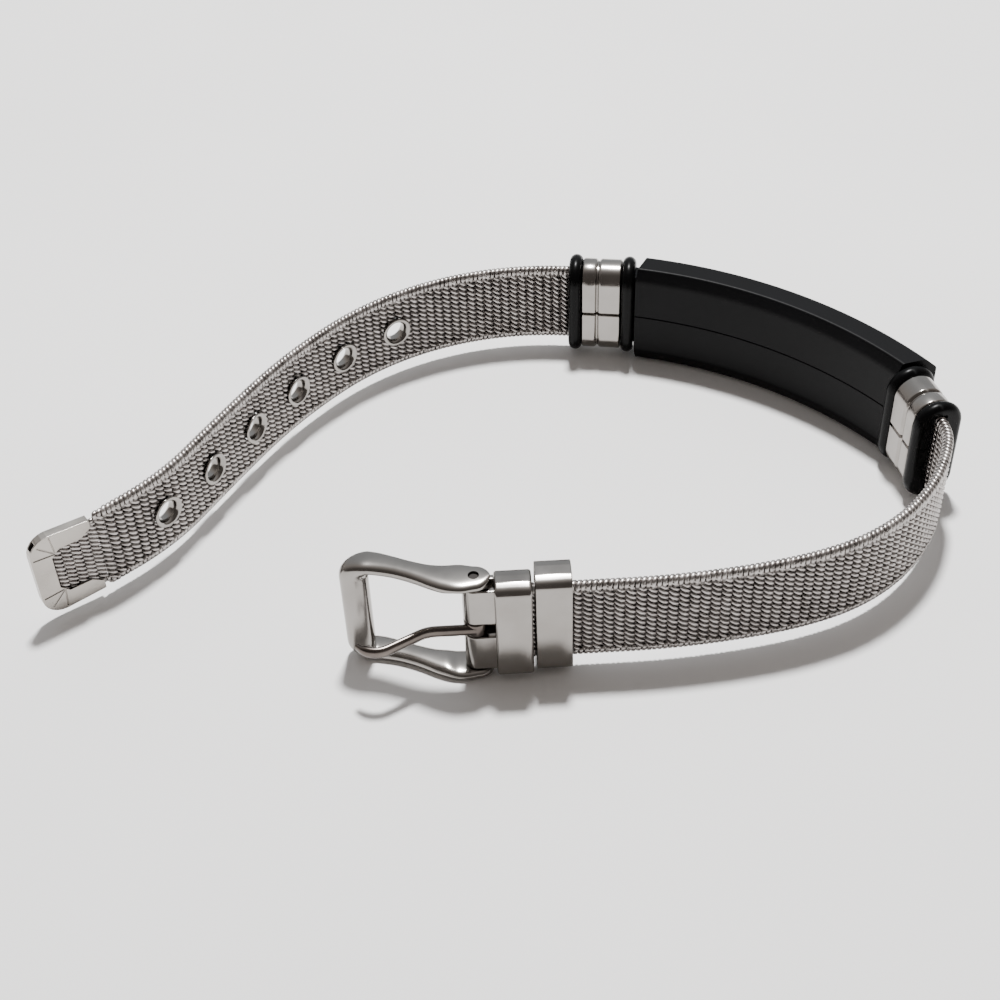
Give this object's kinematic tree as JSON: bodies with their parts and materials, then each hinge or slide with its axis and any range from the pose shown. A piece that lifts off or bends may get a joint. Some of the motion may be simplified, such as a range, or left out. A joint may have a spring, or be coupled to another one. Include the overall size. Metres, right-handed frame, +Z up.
{
  "type": "bracelet",
  "caption": "Open bracelet standing on its edge: a woven steel strap with eyelets and a pin buckle, joined to a curved black rubber bar with a plain cross plate on its outer face.",
  "frame": {"origin": "middle of the footprint, on the surface that the bracelet stands on", "axes": "+X along the longest extent, from the tail's tip to the bar's right end; +Y away from the buckle towards the bar; +Z up"},
  "size_m": [0.0989, 0.0596, 0.0136],
  "materials": {
    "steel": "polished, with a warm grey tone",
    "mesh": "woven wire",
    "rubber": "satin"
  },
  "bodies": {
    "strap": {"tail_band": "mesh", "end_tip": "steel", "left_outer_ring": "rubber", "left_sleeve": "steel", "left_inner_ring": "rubber", "bar": "rubber", "cross_plate": "steel", "right_inner_ring": "rubber", "right_sleeve": "steel", "right_outer_ring": "rubber", "short_band": "mesh", "end_clamp": "steel", "hinge_pin": "steel", "eyelet_1": "steel", "eyelet_2": "steel", "eyelet_3": "steel", "eyelet_4": "steel", "eyelet_5": "steel", "eyelet_6": "steel"},
    "keeper": {"keeper": "steel"},
    "frame": {"buckle_frame": "steel"},
    "tongue": {"tongue": "steel"}
  },
  "joints": [
    {"name": "keeper_slide", "type": "slide", "parent": "strap", "child": "keeper", "axis": [0.9999, 0.014, 0], "range_m": [0, 0.005]},
    {"name": "frame_hinge", "type": "hinge", "parent": "strap", "child": "frame", "pos_m": [-0.0036, -0.02599, 0.0068], "axis": [0, 0, 1], "range_deg": [-60, 60]},
    {"name": "tongue_hinge", "type": "hinge", "parent": "frame", "child": "tongue", "pos_m": [-0.0036, -0.02599, 0.0068], "axis": [0, 0, 1], "range_deg": [-18, 40]}
  ]
}
